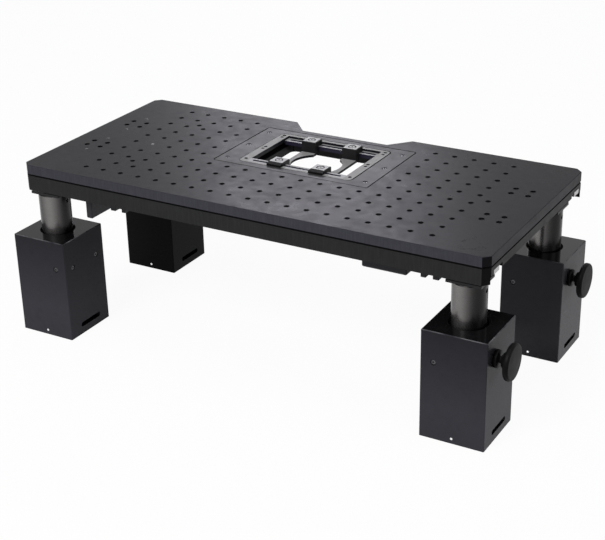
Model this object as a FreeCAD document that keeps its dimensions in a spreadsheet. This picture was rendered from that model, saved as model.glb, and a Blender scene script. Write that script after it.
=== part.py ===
import FreeCAD, Part
import os
import re
import Sketcher

# Motorised sample platform: a 25 mm grid plate on a two-axis slide, on four
# posts that run in leg boxes. Millimetres, +Z up, floor at z = 0, the origin
# in the middle of the bounding box. X runs along the plate, Y to the back.

doc = FreeCAD.newDocument("platform")

# Driving dimensions
SIZES = {
    "plate_length": 600,
    "plate_depth": 280,
    "top_thickness": 12,
    "corner_chamfer": 7.5,
    "plate_edge": 0.5,
    "notch_mouth": 163,
    "notch_floor": 118,
    "notch_depth": 25.5,
    "grid_pitch": 25,
    "grid_columns": 19,
    "grid_rows": 10,
    "front_rows": 4,
    "side_columns": 5,
    "grid_hole": 6,
    "extra_left_x": 187,
    "extra_left_y": 72,
    "extra_right_x": 240,
    "blank_row": 4,
    "blank_lap": 0.2,
    "slide_gap": 1,
    "deck_thickness": 10,
    "skirt_depth": 9,
    "skirt_thickness": 7,
    "deck_window_length": 130,
    "deck_window_depth": 116,
    "window_corner": 8,
    "insert_length": 206.5,
    "insert_depth": 130,
    "insert_thickness": 8,
    "insert_offset": 40.5,
    "insert_ledge": 8,
    "insert_corner": 3,
    "insert_edge": 0.4,
    "insert_fit": 0.15,
    "insert_screw_x": 93,
    "insert_screw_y": 49,
    "insert_screw_head": 6,
    "insert_screw_sink": 3,
    "frame_length": 152,
    "frame_depth": 108,
    "frame_thickness": 5,
    "frame_ledge": 3,
    "frame_corner": 7,
    "frame_fit": 0.15,
    "frame_screw_head": 4.6,
    "frame_screw_sink": 1.2,
    "frame_screw_pitch": 45.5,
    "frame_screw_shift": 2,
    "side_rim": 11.5,
    "front_rim": 3.5,
    "rear_rim": 5.5,
    "bar_depth": 10.5,
    "bar_thickness": 5,
    "bar_recess": 2.8,
    "slot_margin": 5,
    "slot_width": 3.6,
    "clamp_width": 19,
    "clamp_depth": 17,
    "clamp_rise": 4.2,
    "clamp_gap": 0.2,
    "clamp_tail": 7.8,
    "clamp_edge": 0.8,
    "clamp_screw_head": 10,
    "clamp_screw_sink": 1.2,
    "arm_place": 28,
    "arm_shift": 2,
    "arm_drop": 9.5,
    "arm_thickness": 3,
    "dish_radius": 31.5,
    "stud_radius": 1.5,
    "nut_radius": 2.9,
    "nut_height": 2,
    "y_slide_place": 263,
    "y_block_pitch": 82.8,
    "y_block_width": 27,
    "y_block_length": 34.7,
    "y_block_height": 10,
    "y_rail_width": 12,
    "y_rail_height": 8,
    "y_rail_overhang": 2.75,
    "y_rail_margin": 2.25,
    "y_slide_height": 13,
    "y_recess": 5,
    "screw_pitch_x": 20,
    "screw_pitch_y": 15,
    "screw_head": 6,
    "screw_sink": 3.5,
    "travel": 12.5,
    "stop_room": 5,
    "x_rail_place": 118.5,
    "x_rail_width": 14,
    "x_rail_height": 5.2,
    "x_rail_recess": 4.5,
    "x_relief": 8.5,
    "x_slide_height": 9.5,
    "x_block_width": 25,
    "x_block_length": 31,
    "x_block_height": 7.7,
    "x_block_place": 255,
    "rail_play": 0.3,
    "notch_margin": 8,
    "base_length": 570,
    "base_thickness": 6,
    "base_front": 128,
    "base_rear": 128,
    "base_bar": 36,
    "base_arm": 44,
    "base_corner": 6,
    "mount_width": 40,
    "mount_depth": 35,
    "mount_thickness": 3,
    "post_x": 272,
    "post_front": 120,
    "post_rear": 100,
    "post_radius": 19,
    "post_length": 110,
    "post_exposed": 49,
    "post_edge": 1,
    "post_hole": 5,
    "post_hole_drop": 9,
    "leg_width": 75,
    "leg_height": 128,
    "leg_edge": 0.8,
    "leg_play": 0.1,
    "leg_mouth": 43,
    "leg_mouth_depth": 4,
    "leg_floor": 22,
    "leg_screw_head": 6.5,
    "leg_screw_sink": 3,
    "leg_screw_place": 22.5,
    "leg_screw_drop": 36,
    "foot_pin": 4,
    "foot_pin_sink": 1.2,
    "foot_pin_level": 5.5,
    "foot_wall": 10,
    "foot_depth": 16,
    "foot_slot_length": 37.5,
    "foot_slot_height": 6,
    "foot_slot_level": 12,
    "foot_slot_shift": 1.5,
    "knob_drop": 26,
    "knob_offset": 16,
    "knob_radius": 20.5,
    "knob_thickness": 7,
    "knob_round": 2.5,
    "knob_stand": 15,
    "hub_radius": 8.5,
    "hub_length": 6,
    "stem_radius": 4,
    "stem_play": 0.1,
    "stem_tip_gap": 0.3,
    "boss_radius": 10,
    "boss_length": 5,
    "right_drive_length": 53.5,
    "right_drive_depth": 36,
    "right_drive_height": 14,
    "right_drive_x": 173.8,
    "right_drive_front": 122,
    "left_drive_width": 9,
    "left_drive_length": 60,
    "left_drive_height": 26,
    "left_drive_x": 216,
    "left_drive_front": 126,
    "drive_edge": 1.2,
}

# Levels and places that follow from the driving dimensions
DERIVED = {
    "post_top": "leg_height + post_exposed",
    "base_bottom": "post_top + mount_thickness",
    "base_top": "base_bottom + base_thickness",
    "x_rail_seat": "base_top + x_slide_height",
    "deck_bottom": "x_rail_seat - x_rail_recess",
    "skirt_bottom": "deck_bottom - skirt_depth",
    "deck_top": "deck_bottom + deck_thickness",
    "top_bottom": "deck_top + slide_gap",
    "top_level": "top_bottom + top_thickness",
    "y_rail_seat": "top_bottom + y_recess - y_slide_height",
    "knob_reach": "knob_stand + knob_thickness",
    "plate_x": "-knob_reach / 2",
    "plate_y": "(post_front + leg_width / 2 - max(plate_depth / 2; post_rear + leg_width / 2)) / 2",
    "y_rail_length": "y_block_pitch + y_block_length + 2 * travel + 2 * y_rail_overhang",
    "frame_opening": "frame_length - 2 * side_rim",
    "slot_length": "frame_opening - 2 * slot_margin",
    "opening_front": "insert_offset - frame_depth / 2 + front_rim",
    "opening_rear": "insert_offset + frame_depth / 2 - rear_rim",
    "front_bar_y": "opening_front + bar_depth / 2",
    "rear_bar_y": "opening_rear - bar_depth / 2",
    "front_bar_top": "top_level",
    "rear_bar_top": "top_level - bar_recess",
    "arm_top": "top_level - arm_drop",
    "arm_front": "opening_front + bar_depth + clamp_gap",
    "arm_rear": "opening_rear - bar_depth - clamp_gap",
    "clamp_top": "top_level + clamp_rise",
    "front_clamp_y": "arm_front + clamp_tail - clamp_depth / 2",
    "rear_clamp_y": "arm_rear - clamp_tail + clamp_depth / 2",
    "knob_level": "leg_height - knob_drop",
}

sheet = doc.addObject("Spreadsheet::Sheet", "sizes")
for row, (alias, number) in enumerate(SIZES.items(), start=1):
    sheet.set("A%d" % row, alias)
    sheet.set("B%d" % row, str(number))
    sheet.setAlias("B%d" % row, alias)
doc.recompute()


def formula(text):
    """Spell a size expression out in cells of the sheet."""
    def spell(match):
        word = match.group(0)
        if word in DERIVED:
            return "(" + formula(DERIVED[word]) + ")"
        if word in SIZES:
            return "sizes." + word
        return word
    return re.sub(r"[a-z][a-z0-9_]*", spell, str(text))


def value(text):
    return float(sheet.evalExpression(formula(text)))


def bind(thing, name, text):
    thing.setExpression(name, formula(text))


def place(thing, x, y, z):
    for axis, text in zip("xyz", (x, y, z)):
        bind(thing, "Placement.Base." + axis, text)


PIECES = []


def keep(thing, label):
    thing.Label = label
    PIECES.append(thing)
    return thing


# Sketches and features of the machined pieces

def new_body(label, x, y, z):
    body = doc.addObject("PartDesign::Body", "Body_" + label)
    place(body, x, y, z)
    return keep(body, label)


def new_sketch(body, name, x="0", y="0", level="0", plane="XY_Plane"):
    sketch = body.newObject("Sketcher::SketchObject", name)
    base = [f for f in body.Origin.OriginFeatures if f.Role == plane][0]
    sketch.AttachmentSupport = [(base, "")]
    sketch.MapMode = "FlatFace"
    for axis, text in zip("xyz", (x, y, level)):
        bind(sketch, "AttachmentOffset.Base." + axis, text)
    return sketch


def fix(sketch, kind, *places, size=None):
    if size is None:
        sketch.addConstraint(Sketcher.Constraint(kind, *places))
        return
    index = sketch.addConstraint(Sketcher.Constraint(kind, *places, value(size)))
    name = "size%d" % index
    sketch.renameConstraint(index, name)
    bind(sketch, "Constraints." + name, size)


def close_loop(sketch, corners):
    first = sketch.GeometryCount
    count = len(corners)
    for i in range(count):
        sketch.addGeometry(Part.LineSegment(corners[i], corners[(i + 1) % count]))
    for i in range(count):
        fix(sketch, "Coincident", first + i, 2, first + (i + 1) % count, 1)
    return first


def rectangle(sketch, width, depth):
    w = value(width) / 2
    d = value(depth) / 2
    corners = [(-w, -d), (w, -d), (w, d), (-w, d)]
    first = close_loop(sketch, [FreeCAD.Vector(x, y, 0) for x, y in corners])
    fix(sketch, "Horizontal", first)
    fix(sketch, "Vertical", first + 1)
    fix(sketch, "Horizontal", first + 2)
    fix(sketch, "Vertical", first + 3)
    fix(sketch, "Symmetric", first, 1, first + 1, 2, -1, 1)
    fix(sketch, "DistanceX", first, 1, first, 2, size=width)
    fix(sketch, "DistanceY", first + 1, 1, first + 1, 2, size=depth)


def trapezoid(sketch, mouth, floor, depth):
    """A notch that opens on the sketch's X axis and narrows towards -Y."""
    m = value(mouth) / 2
    f = value(floor) / 2
    d = value(depth)
    corners = [(-m, 0), (-f, -d), (f, -d), (m, 0)]
    first = close_loop(sketch, [FreeCAD.Vector(x, y, 0) for x, y in corners])
    fix(sketch, "Symmetric", first, 1, first + 2, 2, -2)
    fix(sketch, "Symmetric", first, 2, first + 1, 2, -2)
    fix(sketch, "PointOnObject", first, 1, -1)
    fix(sketch, "DistanceX", first, 1, first + 2, 2, size=mouth)
    fix(sketch, "DistanceX", first, 2, first + 1, 2, size=floor)
    fix(sketch, "DistanceY", first, 2, first, 1, size=depth)


def circle(sketch, radius, x="0", y="0"):
    centre = FreeCAD.Vector(value(x), value(y), 0)
    index = sketch.addGeometry(Part.Circle(centre, FreeCAD.Vector(0, 0, 1), value(radius)))
    fix(sketch, "Radius", index, size=radius)
    fix(sketch, "DistanceX", -1, 1, index, 3, size=x)
    fix(sketch, "DistanceY", -1, 1, index, 3, size=y)


def stadium(sketch, length, width):
    """A slot with round ends, its length from end to end along X."""
    r = value(width) / 2
    c = value(length) / 2 - r
    up = FreeCAD.Vector(0, 0, 1)
    right_angle = 1.5707963267948966
    left_round = Part.Circle(FreeCAD.Vector(-c, 0, 0), up, r)
    right_round = Part.Circle(FreeCAD.Vector(c, 0, 0), up, r)
    left = sketch.addGeometry(Part.ArcOfCircle(left_round, right_angle, 3 * right_angle))
    right = sketch.addGeometry(Part.ArcOfCircle(right_round, -right_angle, right_angle))
    top = sketch.addGeometry(Part.LineSegment(FreeCAD.Vector(-c, r, 0), FreeCAD.Vector(c, r, 0)))
    low = sketch.addGeometry(Part.LineSegment(FreeCAD.Vector(-c, -r, 0), FreeCAD.Vector(c, -r, 0)))
    fix(sketch, "Tangent", left, 1, top, 1)
    fix(sketch, "Tangent", top, 2, right, 2)
    fix(sketch, "Tangent", right, 1, low, 2)
    fix(sketch, "Tangent", low, 1, left, 2)
    fix(sketch, "Horizontal", top)
    fix(sketch, "Horizontal", low)
    fix(sketch, "Symmetric", left, 3, right, 3, -1, 1)
    fix(sketch, "Radius", left, size="(%s) / 2" % width)
    fix(sketch, "DistanceX", left, 3, right, 3, size="(%s) - (%s)" % (length, width))


def pad(body, name, sketch, length):
    feature = body.newObject("PartDesign::Pad", name)
    feature.Profile = sketch
    bind(feature, "Length", length)
    doc.recompute()
    return feature


def pocket(body, name, sketch, length=None, upwards=False):
    feature = body.newObject("PartDesign::Pocket", name)
    feature.Profile = sketch
    if length is None:
        feature.Type = "ThroughAll"
    else:
        bind(feature, "Length", length)
    feature.Reversed = upwards
    doc.recompute()
    return feature


def repeat(body, name, feature, sketch, columns, step_x, rows="1", step_y="0"):
    """Copies of a feature in columns along X and rows along Y."""
    pattern = body.newObject("PartDesign::LinearPattern", name)
    pattern.Originals = [feature]
    pattern.Direction = (sketch, ["H_Axis"])
    bind(pattern, "Occurrences", columns)
    bind(pattern, "Length", "((%s) - 1) * (%s)" % (columns, step_x))
    if rows != "1":
        pattern.Direction2 = (sketch, ["V_Axis"])
        bind(pattern, "Occurrences2", rows)
        bind(pattern, "Length2", "((%s) - 1) * (%s)" % (rows, step_y))
    body.Tip = pattern
    doc.recompute()
    return pattern


def upright_edges(feature, corners):
    """Names of the edges along Z that stand on the given X, Y places."""
    spots = [(value(x), value(y)) for x, y in corners]
    names = []
    for number, edge in enumerate(feature.Shape.Edges, start=1):
        a = edge.Vertexes[0].Point
        b = edge.Vertexes[-1].Point
        if abs(a.x - b.x) + abs(a.y - b.y) > 1e-4 or abs(a.z - b.z) < 1e-4:
            continue
        if any(abs(a.x - x) + abs(a.y - y) < 1e-3 for x, y in spots):
            names.append("Edge%d" % number)
    return names


def corners_of(width, depth, x="0", y="0"):
    return [("(%s) + (%s) * %s / 2" % (x, width, i), "(%s) + (%s) * %s / 2" % (y, depth, j))
            for i in (-1, 1) for j in (-1, 1)]


def round_corners(body, name, feature, corners, radius):
    fillet = body.newObject("PartDesign::Fillet", name)
    fillet.Base = (feature, upright_edges(feature, corners))
    bind(fillet, "Radius", radius)
    doc.recompute()
    return fillet


def cut_corners(body, name, feature, corners, size):
    chamfer = body.newObject("PartDesign::Chamfer", name)
    chamfer.Base = (feature, upright_edges(feature, corners))
    bind(chamfer, "Size", size)
    doc.recompute()
    return chamfer


def outer_edges(feature, level, axis="Z"):
    """Names of the edges round the largest flat face at a level of an axis."""
    place_at = value(level)
    flat = [face for face in feature.Shape.Faces
            if abs(getattr(face.BoundBox, axis + "Min") - place_at) < 1e-4
            and abs(getattr(face.BoundBox, axis + "Max") - place_at) < 1e-4]
    rim = max(flat, key=lambda face: face.Area).OuterWire.Edges
    return ["Edge%d" % number for number, edge in enumerate(feature.Shape.Edges, start=1)
            if any(edge.isSame(other) for other in rim)]


def break_rim(body, name, feature, level, size):
    """A small chamfer round the outline of the face at the level."""
    chamfer = body.newObject("PartDesign::Chamfer", name)
    chamfer.Base = (feature, outer_edges(feature, level))
    bind(chamfer, "Size", size)
    doc.recompute()
    return chamfer


# Solids of the turned and plain pieces

def box(name, x, y, z, length, width, height):
    """A block centred on x and y that stands on z."""
    solid = doc.addObject("Part::Box", name)
    bind(solid, "Length", length)
    bind(solid, "Width", width)
    bind(solid, "Height", height)
    place(solid, "(%s) - (%s) / 2" % (x, length), "(%s) - (%s) / 2" % (y, width), z)
    return solid


def cylinder(name, x, y, z, radius, height, along=(0, 0, 1)):
    solid = doc.addObject("Part::Cylinder", name)
    bind(solid, "Radius", radius)
    bind(solid, "Height", height)
    solid.Placement.Rotation = FreeCAD.Rotation(FreeCAD.Vector(0, 0, 1), FreeCAD.Vector(*along))
    place(solid, x, y, z)
    return solid


def cone(name, x, y, z, low_radius, high_radius, height):
    solid = doc.addObject("Part::Cone", name)
    bind(solid, "Radius1", low_radius)
    bind(solid, "Radius2", high_radius)
    bind(solid, "Height", height)
    place(solid, x, y, z)
    return solid


def fuse(name, *solids):
    joined = doc.addObject("Part::MultiFuse", name)
    joined.Shapes = list(solids)
    return joined


def cut(name, base, tool):
    result = doc.addObject("Part::Cut", name)
    result.Base = base
    result.Tool = tool
    return result


# Top plate: the 25 mm hole grid, the rear notch, the seat of the insert and
# the shallow seats of the slide carriages underneath
top_plate = new_body("top_plate", "plate_x", "plate_y", "top_bottom")
outline = new_sketch(top_plate, "TopOutline")
rectangle(outline, "plate_length", "plate_depth")
slab = pad(top_plate, "TopSlab", outline, "top_thickness")
slab = cut_corners(top_plate, "TopCorners", slab, corners_of("plate_length", "plate_depth"),
                   "corner_chamfer")
notch = new_sketch(top_plate, "TopNotch", y="plate_depth / 2", level="top_thickness")
trapezoid(notch, "notch_mouth", "notch_floor", "notch_depth")
slab = pocket(top_plate, "TopNotchCut", notch)
slab = break_rim(top_plate, "TopRimUpper", slab, "top_thickness", "plate_edge")
break_rim(top_plate, "TopRimLower", slab, "0", "plate_edge")
seat = new_sketch(top_plate, "InsertSeat", y="insert_offset", level="top_thickness")
rectangle(seat, "insert_length", "insert_depth")
seat_cut = pocket(top_plate, "InsertSeatCut", seat, "insert_thickness")
seat_cut = round_corners(top_plate, "InsertSeatCorners", seat_cut,
                         corners_of("insert_length", "insert_depth", y="insert_offset"),
                         "insert_corner")
window = new_sketch(top_plate, "TopWindow", y="insert_offset", level="top_thickness")
rectangle(window, "insert_length - 2 * insert_ledge", "insert_depth - 2 * insert_ledge")
pocket(top_plate, "TopWindowCut", window)
block_seat = new_sketch(top_plate, "BlockSeat", x="-y_slide_place", y="-y_block_pitch / 2")
rectangle(block_seat, "y_block_width + 1", "y_block_length + 1")
block_seat_cut = pocket(top_plate, "BlockSeatCut", block_seat, "y_recess", upwards=True)
repeat(top_plate, "BlockSeats", block_seat_cut, block_seat, "2", "2 * y_slide_place",
       "2", "y_block_pitch")
cluster = new_sketch(top_plate, "ScrewCluster", x="-y_slide_place", y="-y_block_pitch / 2",
                     level="top_thickness")
for side in (-1, 1):
    for end in (-1, 1):
        circle(cluster, "screw_head / 2", "%d * screw_pitch_x / 2" % side, "%d * screw_pitch_y / 2" % end)
cluster_cut = pocket(top_plate, "ScrewClusterCut", cluster, "screw_sink")
repeat(top_plate, "ScrewClusters", cluster_cut, cluster, "2", "2 * y_slide_place",
       "2", "y_block_pitch")
GRID_LEFT = "-(grid_columns - 1) * grid_pitch / 2"
GRID_FRONT = "-(grid_rows - 1) * grid_pitch / 2"
FIELDS = {
    "Front": (GRID_LEFT, GRID_FRONT, "grid_columns", "front_rows"),
    "Left": (GRID_LEFT, GRID_FRONT + " + front_rows * grid_pitch", "side_columns",
             "grid_rows - front_rows"),
    "Right": ("-(" + GRID_LEFT + ") - (side_columns - 1) * grid_pitch",
              GRID_FRONT + " + front_rows * grid_pitch", "side_columns", "grid_rows - front_rows"),
}
for field, (x, y, columns, rows) in FIELDS.items():
    hole = new_sketch(top_plate, field + "Hole", x=x, y=y, level="top_thickness")
    circle(hole, "grid_hole / 2")
    hole_cut = pocket(top_plate, field + "HoleCut", hole)
    repeat(top_plate, field + "Grid", hole_cut, hole, columns, "grid_pitch", rows, "grid_pitch")
extra = new_sketch(top_plate, "ExtraHoles", level="top_thickness")
circle(extra, "grid_hole / 2", "-extra_left_x", "extra_left_y")
circle(extra, "grid_hole / 2", "-extra_left_x", "-extra_left_y")
circle(extra, "grid_hole / 2", "extra_right_x")
pocket(top_plate, "ExtraHolesCut", extra)
blank = new_sketch(top_plate, "BlankPlace", x=GRID_LEFT + " + grid_pitch",
                   y=GRID_FRONT + " + blank_row * grid_pitch")
circle(blank, "grid_hole / 2 + blank_lap")
pad(top_plate, "BlankPlacePad", blank, "top_thickness")

# Insert plate, flush in the top plate, with the ledge of the holder frame
insert = new_body("insert_plate", "plate_x", "plate_y + insert_offset", "top_level - insert_thickness")
outline = new_sketch(insert, "InsertOutline")
rectangle(outline, "insert_length - 2 * insert_fit", "insert_depth - 2 * insert_fit")
slab = pad(insert, "InsertSlab", outline, "insert_thickness")
slab = round_corners(insert, "InsertCorners", slab,
                     corners_of("insert_length - 2 * insert_fit", "insert_depth - 2 * insert_fit"),
                     "insert_corner")
break_rim(insert, "InsertRim", slab, "insert_thickness", "insert_edge")
seat = new_sketch(insert, "FrameSeat", level="insert_thickness")
rectangle(seat, "frame_length", "frame_depth")
seat_cut = pocket(insert, "FrameSeatCut", seat, "frame_thickness")
round_corners(insert, "FrameSeatCorners", seat_cut, corners_of("frame_length", "frame_depth"),
              "frame_corner")
window = new_sketch(insert, "InsertWindow", level="insert_thickness")
rectangle(window, "frame_length - 2 * frame_ledge", "frame_depth - 2 * frame_ledge")
pocket(insert, "InsertWindowCut", window)
screw = new_sketch(insert, "InsertScrew", x="-insert_screw_x", y="-insert_screw_y",
                   level="insert_thickness")
circle(screw, "insert_screw_head / 2")
screw_cut = pocket(insert, "InsertScrewCut", screw, "insert_screw_sink")
repeat(insert, "InsertScrews", screw_cut, screw, "2", "2 * insert_screw_x", "3", "insert_screw_y")

# Holder frame: a light ring with wide sides
frame = new_body("holder_frame", "plate_x", "plate_y + insert_offset", "top_level - frame_thickness")
outline = new_sketch(frame, "FrameOutline")
rectangle(outline, "frame_length - 2 * frame_fit", "frame_depth - 2 * frame_fit")
slab = pad(frame, "FrameSlab", outline, "frame_thickness")
slab = round_corners(frame, "FrameCorners", slab,
                     corners_of("frame_length - 2 * frame_fit", "frame_depth - 2 * frame_fit"),
                     "frame_corner")
break_rim(frame, "FrameRim", slab, "frame_thickness", "insert_edge")
window = new_sketch(frame, "FrameWindow", y="(front_rim - rear_rim) / 2", level="frame_thickness")
rectangle(window, "frame_opening", "frame_depth - front_rim - rear_rim")
pocket(frame, "FrameWindowCut", window)
screw = new_sketch(frame, "FrameScrew", x="-(frame_length - side_rim) / 2",
                   y="frame_screw_shift - frame_screw_pitch", level="frame_thickness")
circle(screw, "frame_screw_head / 2")
screw_cut = pocket(frame, "FrameScrewCut", screw, "frame_screw_sink")
repeat(frame, "FrameScrews", screw_cut, screw, "2", "frame_length - side_rim", "3",
       "frame_screw_pitch")

# Slotted bars across the front and the back of the frame
for end, bar_y, bar_top in (("front", "front_bar_y", "front_bar_top"),
                            ("rear", "rear_bar_y", "rear_bar_top")):
    bar = new_body(end + "_slotted_bar", "plate_x", "plate_y + " + bar_y,
                   bar_top + " - bar_thickness")
    outline = new_sketch(bar, end + "BarOutline")
    rectangle(outline, "frame_opening", "bar_depth")
    pad(bar, end + "Bar", outline, "bar_thickness")
    groove = new_sketch(bar, end + "BarSlot", level="bar_thickness")
    stadium(groove, "slot_length", "slot_width")
    pocket(bar, end + "BarSlotCut", groove)

# Dish arms: each is a thin plate with an arc for the dish, hung from a clamp
# at either end that is screwed through the slot of its bar
for side, sign in (("left", -1), ("right", 1)):
    arm_x = "plate_x + arm_shift + %d * arm_place" % sign
    arm = new_body(side + "_dish_arm", arm_x, "plate_y + (arm_front + arm_rear) / 2",
                   "arm_top - arm_thickness")
    outline = new_sketch(arm, side + "ArmOutline")
    rectangle(outline, "clamp_width", "arm_rear - arm_front")
    pad(arm, side + "Arm", outline, "arm_thickness")
    arc = new_sketch(arm, side + "ArmArc", x="%d * arm_place" % -sign, level="arm_thickness")
    circle(arc, "dish_radius")
    pocket(arm, side + "ArmArcCut", arc)
    for end, clamp_y, tail_y, bar_y, bar_top in (
            ("front", "front_clamp_y", "arm_front + clamp_tail / 2", "front_bar_y", "front_bar_top"),
            ("rear", "rear_clamp_y", "arm_rear - clamp_tail / 2", "rear_bar_y", "rear_bar_top")):
        name = "%s_%s_clamp" % (side, end)
        seat_level = bar_top + " + clamp_gap"
        stud_length = "bar_thickness + 2 * clamp_gap"
        clamp = new_body(name, arm_x, "plate_y + " + clamp_y, seat_level)
        cap = new_sketch(clamp, name + "Cap")
        rectangle(cap, "clamp_width", "clamp_depth")
        cap_height = "clamp_top - (" + seat_level + ")"
        block = pad(clamp, name + "CapPad", cap, cap_height)
        break_rim(clamp, name + "CapRim", block, cap_height, "clamp_edge")
        sink = new_sketch(clamp, name + "Sink", level=cap_height)
        circle(sink, "clamp_screw_head / 2")
        pocket(clamp, name + "SinkCut", sink, "clamp_screw_sink")
        tail = new_sketch(clamp, name + "Tail", y=tail_y + " - (" + clamp_y + ")",
                          level="arm_top - (" + seat_level + ")")
        rectangle(tail, "clamp_width", "clamp_tail")
        pad(clamp, name + "TailPad", tail, seat_level + " - arm_top")
        stud = new_sketch(clamp, name + "Stud", y=bar_y + " - (" + clamp_y + ")",
                          level="-(" + stud_length + ")")
        circle(stud, "stud_radius")
        pad(clamp, name + "StudPad", stud, stud_length)
        nut = new_sketch(clamp, name + "Nut", y=bar_y + " - (" + clamp_y + ")",
                         level="-(" + stud_length + ") - nut_height")
        circle(nut, "nut_radius")
        pad(clamp, name + "NutPad", nut, "nut_height")

# Deck: the middle plate of the two-axis slide, with skirts along the front
# and the back, recesses for the X rails below and for the Y rails above
deck = new_body("deck_plate", "plate_x", "plate_y", "skirt_bottom")
outline = new_sketch(deck, "DeckOutline")
rectangle(outline, "plate_length", "plate_depth")
slab = pad(deck, "DeckSlab", outline, "skirt_depth + deck_thickness")
cut_corners(deck, "DeckCorners", slab, corners_of("plate_length", "plate_depth"), "corner_chamfer")
hollow = new_sketch(deck, "DeckHollow")
rectangle(hollow, "plate_length + 2", "plate_depth - 2 * skirt_thickness")
pocket(deck, "DeckHollowCut", hollow, "skirt_depth", upwards=True)
notch = new_sketch(deck, "DeckNotch", y="plate_depth / 2", level="skirt_depth + deck_thickness")
trapezoid(notch, "notch_mouth", "notch_floor", "notch_depth")
slab = pocket(deck, "DeckNotchCut", notch)
break_rim(deck, "DeckRim", slab, "skirt_depth + deck_thickness", "plate_edge")
window = new_sketch(deck, "DeckWindow", y="insert_offset", level="skirt_depth + deck_thickness")
rectangle(window, "deck_window_length", "deck_window_depth")
window_cut = pocket(deck, "DeckWindowCut", window)
round_corners(deck, "DeckWindowCorners", window_cut,
              corners_of("deck_window_length", "deck_window_depth", y="insert_offset"),
              "window_corner")
groove = new_sketch(deck, "XRailRecess", y="-x_rail_place + x_relief / 2", level="skirt_depth")
rectangle(groove, "plate_length + 2", "x_rail_width + x_relief")
pocket(deck, "XRailRecessFront", groove, "x_rail_recess", upwards=True)
groove = new_sketch(deck, "XRailRecessBack", y="x_rail_place - x_relief / 2", level="skirt_depth")
rectangle(groove, "plate_length + 2", "x_rail_width + x_relief")
pocket(deck, "XRailRecessRear", groove, "x_rail_recess", upwards=True)
relief = new_sketch(deck, "XBlockRelief", x="-x_block_place", y="-x_rail_place", level="skirt_depth")
rectangle(relief, "x_block_length + 2 * travel + stop_room", "x_block_width + 2")
relief_cut = pocket(deck, "XBlockReliefCut", relief, "x_rail_recess", upwards=True)
repeat(deck, "XBlockReliefs", relief_cut, relief, "2", "2 * x_block_place", "2", "2 * x_rail_place")
groove = new_sketch(deck, "YRailRecess", x="-y_slide_place", level="skirt_depth + deck_thickness")
rectangle(groove, "y_block_width + 2 * stop_room", "y_rail_length + 2 * y_rail_margin")
groove_cut = pocket(deck, "YRailRecessCut", groove, "deck_top - y_rail_seat")
repeat(deck, "YRailRecesses", groove_cut, groove, "2", "2 * y_slide_place")

# Rails and carriages
REAR_RAIL = "plate_length / 2 - notch_mouth / 2 - notch_margin"
keep(box("XRailFront", "plate_x", "plate_y - x_rail_place", "x_rail_seat - x_rail_height",
         "plate_length", "x_rail_width", "x_rail_height"), "x_rail_front")
for side, sign in (("left", -1), ("right", 1)):
    keep(box("XRailRear" + side, "plate_x + %d * (plate_length - (%s)) / 2" % (sign, REAR_RAIL),
             "plate_y + x_rail_place", "x_rail_seat - x_rail_height", REAR_RAIL, "x_rail_width",
             "x_rail_height"), "x_rail_rear_" + side)
    keep(box("YRail" + side, "plate_x + %d * y_slide_place" % sign, "plate_y", "y_rail_seat",
             "y_rail_width", "y_rail_length", "y_rail_height"), "y_rail_" + side)
    for end, way in (("front", -1), ("rear", 1)):
        name = "x_carriage_%s_%s" % (side, end)
        block_x = "plate_x + %d * x_block_place" % sign
        block_y = "plate_y + %d * x_rail_place" % way
        block = box(name + "_block", block_x, block_y, "base_top", "x_block_length",
                    "x_block_width", "x_block_height")
        channel = box(name + "_channel", block_x, block_y,
                      "x_rail_seat - x_rail_height - rail_play", "x_block_length + 2",
                      "x_rail_width + 2 * rail_play", "x_block_height")
        keep(cut(name + "_solid", block, channel), name)
        name = "y_carriage_%s_%s" % (side, end)
        block_x = "plate_x + %d * y_slide_place" % sign
        block_y = "plate_y + %d * y_block_pitch / 2" % way
        block = box(name + "_block", block_x, block_y, "y_rail_seat + y_slide_height - y_block_height",
                    "y_block_width", "y_block_length", "y_block_height")
        channel = box(name + "_channel", block_x, block_y, "y_rail_seat",
                      "y_rail_width + 2 * rail_play", "y_block_length + 2",
                      "y_rail_height + rail_play")
        keep(cut(name + "_solid", block, channel), name)

# Base frame: a U that is open to the back, under the deck
base = new_body("base_frame", "plate_x", "plate_y + (base_rear - base_front) / 2", "base_bottom")
outline = new_sketch(base, "BaseOutline")
rectangle(outline, "base_length", "base_front + base_rear")
slab = pad(base, "BaseSlab", outline, "base_thickness")
round_corners(base, "BaseCorners", slab, corners_of("base_length", "base_front + base_rear"),
              "base_corner")
opening = new_sketch(base, "BaseOpening", y="base_bar", level="base_thickness")
rectangle(opening, "base_length - 2 * base_arm", "base_front + base_rear")
pocket(base, "BaseOpeningCut", opening)

# Drive housings under the front bar of the base frame, their lower edges broken
for side, sign, across, along_y in (("right", 1, "right_drive_length", "right_drive_depth"),
                                    ("left", -1, "left_drive_width", "left_drive_length")):
    name = side + "_drive_housing"
    drive = new_body(name, "plate_x + %d * %s_drive_x" % (sign, side),
                     "plate_y - %s_drive_front + %s / 2" % (side, along_y),
                     "base_bottom - %s_drive_height" % side)
    outline = new_sketch(drive, name + "Outline")
    rectangle(outline, across, along_y)
    block = pad(drive, name + "Block", outline, side + "_drive_height")
    block = cut_corners(drive, name + "Corners", block, corners_of(across, along_y), "drive_edge")
    break_rim(drive, name + "Rim", block, "0", "drive_edge")

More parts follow.
